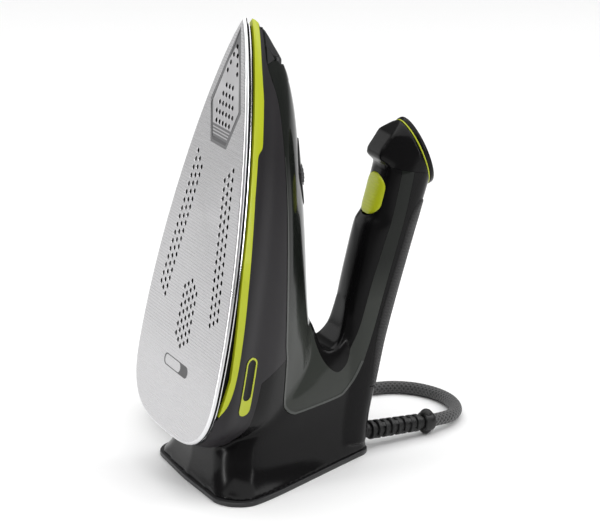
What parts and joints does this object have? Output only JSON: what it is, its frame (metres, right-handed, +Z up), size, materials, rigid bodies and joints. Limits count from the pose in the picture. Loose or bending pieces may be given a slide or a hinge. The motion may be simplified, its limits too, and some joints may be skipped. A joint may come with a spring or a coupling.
{
  "type": "steam iron",
  "caption": "Corded steam iron standing on its heel: pointed steel soleplate, lime skirt band, smoked water tank, loop handle with trigger and angled control head, braided cord on a swivel.",
  "frame": {"origin": "middle of the flat face under the heel, on which the iron stands", "axes": "+Z up with the iron standing on its heel; -Y is the way the soleplate faces, +Y is the way the cord leaves; X across the iron"},
  "size_m": [0.199, 0.2146, 0.2718],
  "materials": {
    "sole_steel": "satin with fine scratches along the plate",
    "insert_grey": "satin grey ceramic",
    "seal_black": "matte silicone",
    "chrome_trim": "bright polished",
    "shield_black": "matte",
    "lime_plastic": "smooth gloss, lime green",
    "shell_black": "satin gloss, charcoal",
    "gloss_black": "high gloss black",
    "base_grey": "satin, very dark grey",
    "smoked_clear": "glossy smoked transparent plastic",
    "grip_black": "soft matte with fine diagonal ribs",
    "control_grey": "satin",
    "inner_plastic": "matte",
    "cast_alloy": "as cast",
    "steel_parts": "plain",
    "brass_parts": "plain",
    "wire_sleeve": "matte sleeve",
    "guard_rubber": "satin rubber",
    "cord_braid": "tight woven textile braid",
    "plug_black": "satin moulded",
    "plug_metal": "nickel plated"
  },
  "bodies": {
    "iron": {"soleplate": "sole_steel", "tip_insert": "insert_grey", "sole_gasket": "seal_black", "skirt_frame": "chrome_trim", "heat_shield": "shield_black", "skirt_band": "lime_plastic", "body_shell": "shell_black", "rear_housing": "gloss_black", "base_plate": "base_grey", "base_screws": "steel_parts", "water_tank": "smoked_clear", "tank_handle_band": "smoked_clear", "tank_floor": "inner_plastic", "tank_seal": "seal_black", "nose_trim": "shell_black", "spray_nozzle": "gloss_black", "door_pin": "steel_parts", "grip_front": "gloss_black", "rear_grip": "grip_black", "handle_head": "gloss_black", "control_cap": "gloss_black", "cap_ring": "lime_plastic", "spray_spring": "steel_parts", "spray_pump": "inner_plastic", "trigger_pin": "steel_parts", "pump_spring": "steel_parts", "pump_body": "inner_plastic", "pump_hose": "inner_plastic", "dial_bezel": "gloss_black", "thermostat": "cast_alloy", "heater_casting": "cast_alloy", "heating_element": "steel_parts", "element_terminals": "brass_parts", "chamber_gasket": "seal_black", "chamber_cover": "cast_alloy", "cover_screws": "steel_parts", "dosing_valve": "inner_plastic", "thermal_fuse": "inner_plastic", "terminal_block": "inner_plastic", "lead_wires": "wire_sleeve", "side_badges": "lime_plastic", "badge_insets": "gloss_black", "cord": "cord_braid", "cord_coil": "cord_braid", "cord_end": "cord_braid", "plug_body": "plug_black", "plug_pins": "plug_metal"},
    "dial": {"temperature_dial": "control_grey"},
    "door": {"fill_door": "shell_black"},
    "spray_key": {"spray_button": "control_grey"},
    "selector": {"steam_selector": "control_grey"},
    "trigger_key": {"trigger": "lime_plastic"},
    "piston": {"pump_piston": "inner_plastic"},
    "cord_joint": {"cord_swivel": "guard_rubber", "cord_guard": "guard_rubber", "guard_collar": "guard_rubber"}
  },
  "joints": [
    {"name": "trigger_press", "type": "hinge", "parent": "iron", "child": "trigger_key", "pos_m": [0, 0.07213, 0.17042], "axis": [1, 0, 0], "range_deg": [0, 6.5], "stiffness_Nm_per_rad": 0.05},
    {"name": "pump_stroke", "type": "slide", "parent": "iron", "child": "piston", "axis": [0, 0.977, -0.213], "range_m": [0, 0.0022], "deforming": ["pump_spring"]},
    {"name": "spray_press", "type": "slide", "parent": "iron", "child": "spray_key", "axis": [0, -0.9317, -0.3633], "range_m": [0, 0.0025], "stiffness_N_per_m": 300, "deforming": ["spray_spring"]},
    {"name": "steam_select", "type": "slide", "parent": "iron", "child": "selector", "axis": [-1, 0, 0], "range_m": [0, 0.012]},
    {"name": "dial_turn", "type": "hinge", "parent": "iron", "child": "dial", "pos_m": [0, 0.01675, 0.1784], "axis": [0, 0.9972, 0.075], "range_deg": [0, 280]},
    {"name": "door_open", "type": "hinge", "parent": "iron", "child": "door", "pos_m": [0, 0.00084, 0.24717], "axis": [-1, 0, 0], "range_deg": [0, 75]},
    {"name": "cord_swing", "type": "hinge", "parent": "iron", "child": "cord_joint", "pos_m": [0, 0.052, 0.0115], "axis": [0, 0, 1], "range_deg": [-20, 20]}
  ],
  "couplings": [
    {"joint": "pump_stroke", "follows": "trigger_press", "m_per_rad": 0.019}
  ]
}
